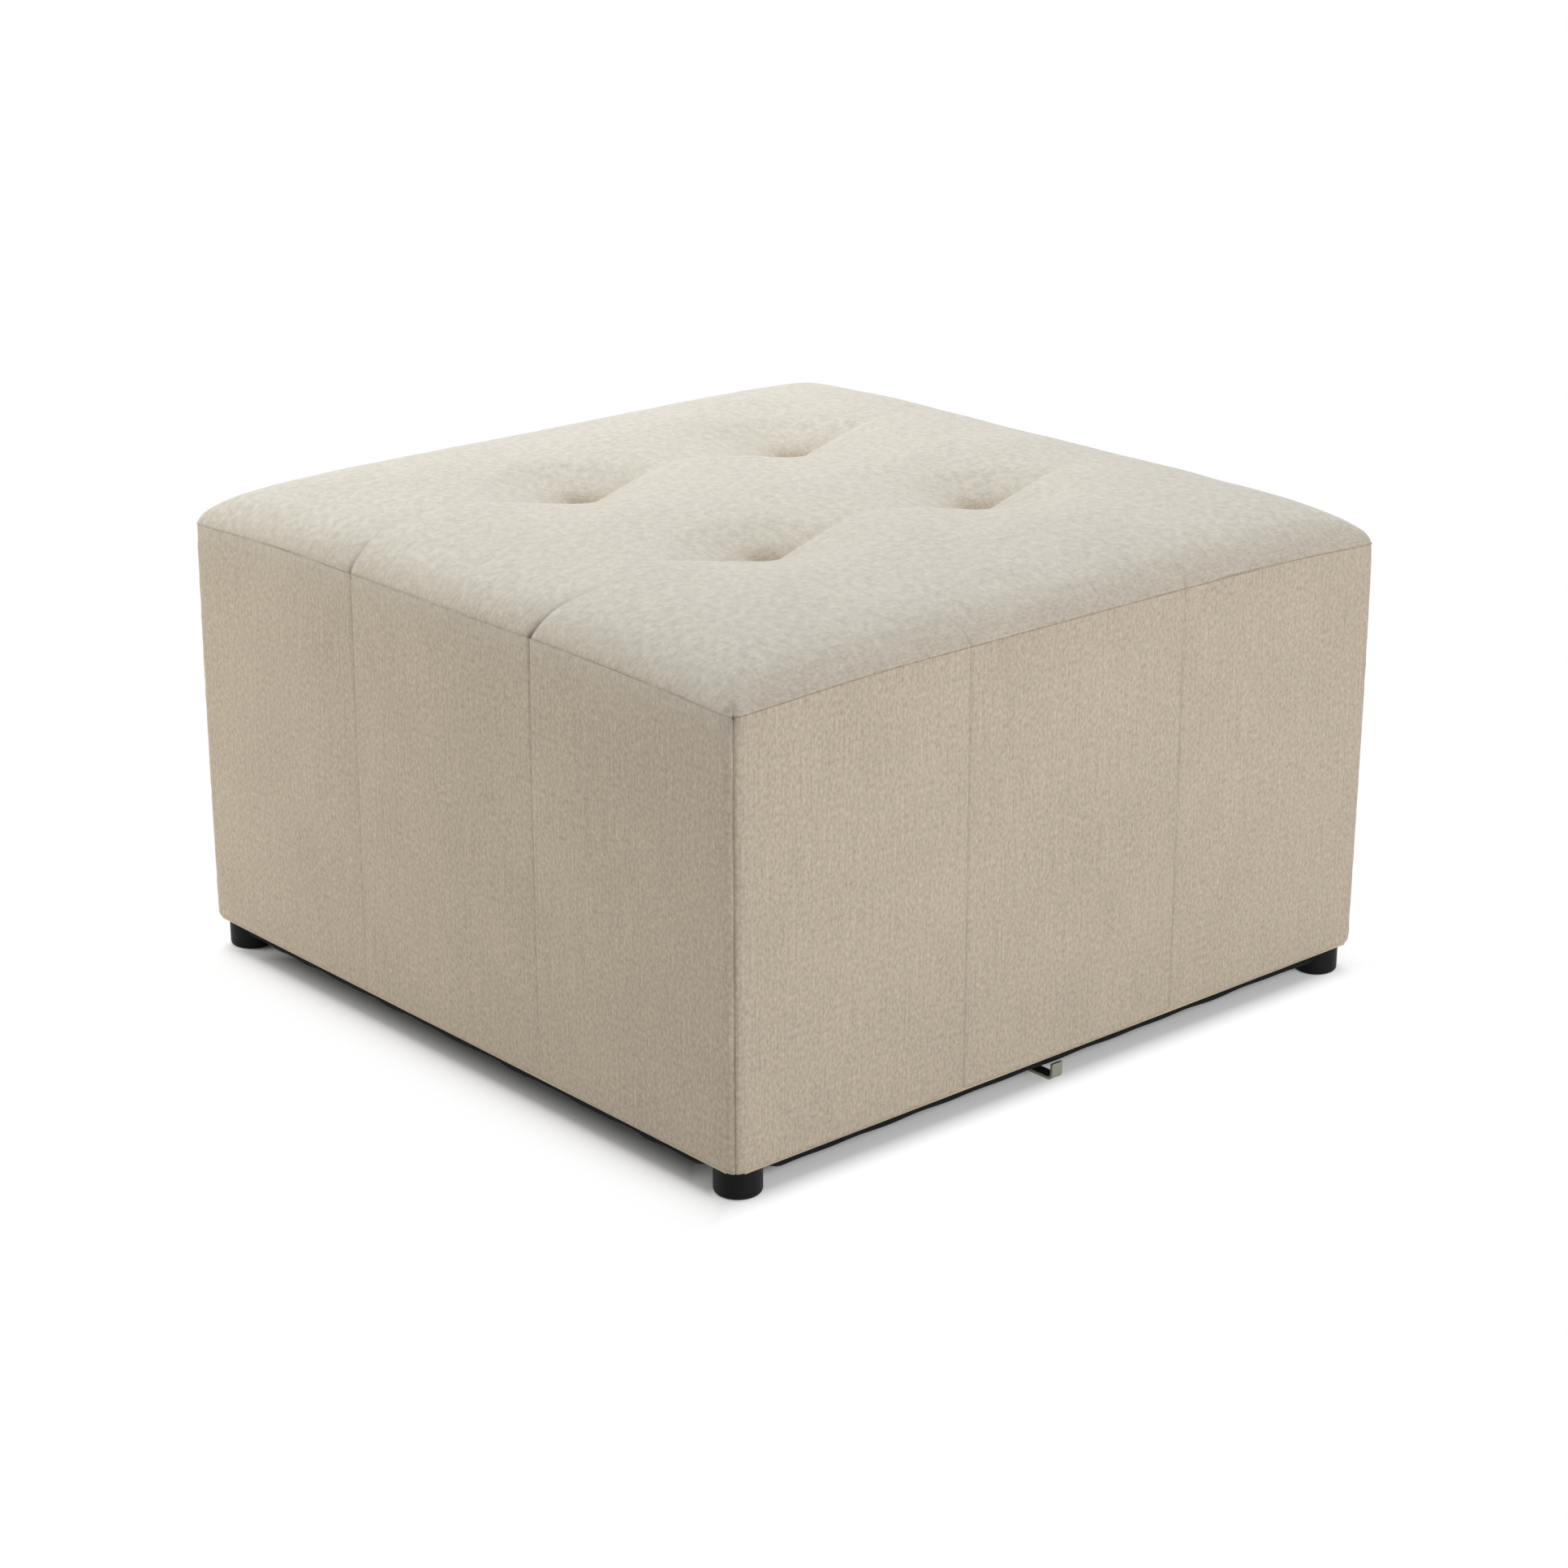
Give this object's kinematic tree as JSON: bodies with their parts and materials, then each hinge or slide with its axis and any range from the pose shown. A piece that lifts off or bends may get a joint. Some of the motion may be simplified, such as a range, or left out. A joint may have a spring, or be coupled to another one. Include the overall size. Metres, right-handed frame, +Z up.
{
  "type": "modular pouf",
  "caption": "Square upholstered pouf with a crowned tufted seat, panelled sides, short screw-in feet and a steel hook that links it to the next module.",
  "frame": {"origin": "on the floor, under the middle of the pouf", "axes": "+Z up, +X to the side that carries the link hook, -Y to the front"},
  "size_m": [0.7498, 0.7498, 0.4416],
  "materials": {
    "cover_cloth": "woven greige cloth, fine vertical slub",
    "dust_cloth": "black non-woven cloth",
    "foot_plastic": "moulded black plastic, fine satin grain",
    "zinc_steel": "zinc plated",
    "pine": "planed pine",
    "beech": "fluted beech",
    "plywood": "sanded plywood",
    "hardboard": "smooth one face",
    "foam": "open-cell polyurethane foam",
    "wadding": "polyester fibre wadding",
    "twine": "waxed twine",
    "toggle_plastic": "moulded plastic"
  },
  "bodies": {
    "body": {"back_board": "hardboard", "back_bottom_rail": "pine", "back_cover": "cover_cloth", "back_foam": "foam", "back_left_post": "pine", "back_right_post": "pine", "back_top_rail": "pine", "deck_bearer": "pine", "deck_screws": "zinc_steel", "dust_cover": "dust_cloth", "dust_cover_staples": "zinc_steel", "foot_inserts": "zinc_steel", "frame_dowels": "beech", "front_board": "hardboard", "front_bottom_rail": "pine", "front_cover": "cover_cloth", "front_foam": "foam", "front_left_post": "pine", "front_right_post": "pine", "front_top_rail": "pine", "left_board": "hardboard", "left_bottom_rail": "pine", "left_cover": "cover_cloth", "left_foam": "foam", "left_top_rail": "pine", "link_hook": "zinc_steel", "link_screws": "zinc_steel", "right_board": "hardboard", "right_bottom_rail": "pine", "right_cover": "cover_cloth", "right_foam": "foam", "right_top_rail": "pine", "seat_deck": "plywood", "seat_foam": "foam", "seat_wadding": "wadding", "top_cover": "cover_cloth", "tuft_toggles": "toggle_plastic", "tuft_twines": "twine"},
    "front_left_foot": {"front_left_foot": "foot_plastic", "front_left_stud": "zinc_steel"},
    "front_right_foot": {"front_right_foot": "foot_plastic", "front_right_stud": "zinc_steel"},
    "back_left_foot": {"back_left_foot": "foot_plastic", "back_left_stud": "zinc_steel"},
    "back_right_foot": {"back_right_foot": "foot_plastic", "back_right_stud": "zinc_steel"}
  },
  "joints": [
    {"name": "front_left_foot_turn", "type": "hinge", "parent": "body", "child": "front_left_foot", "pos_m": [-0.349, -0.349, 0], "axis": [0, 0, 1], "continuous": true},
    {"name": "front_right_foot_turn", "type": "hinge", "parent": "body", "child": "front_right_foot", "pos_m": [0.349, -0.349, 0], "axis": [0, 0, 1], "continuous": true},
    {"name": "back_left_foot_turn", "type": "hinge", "parent": "body", "child": "back_left_foot", "pos_m": [-0.349, 0.349, 0], "axis": [0, 0, 1], "continuous": true},
    {"name": "back_right_foot_turn", "type": "hinge", "parent": "body", "child": "back_right_foot", "pos_m": [0.349, 0.349, 0], "axis": [0, 0, 1], "continuous": true}
  ]
}
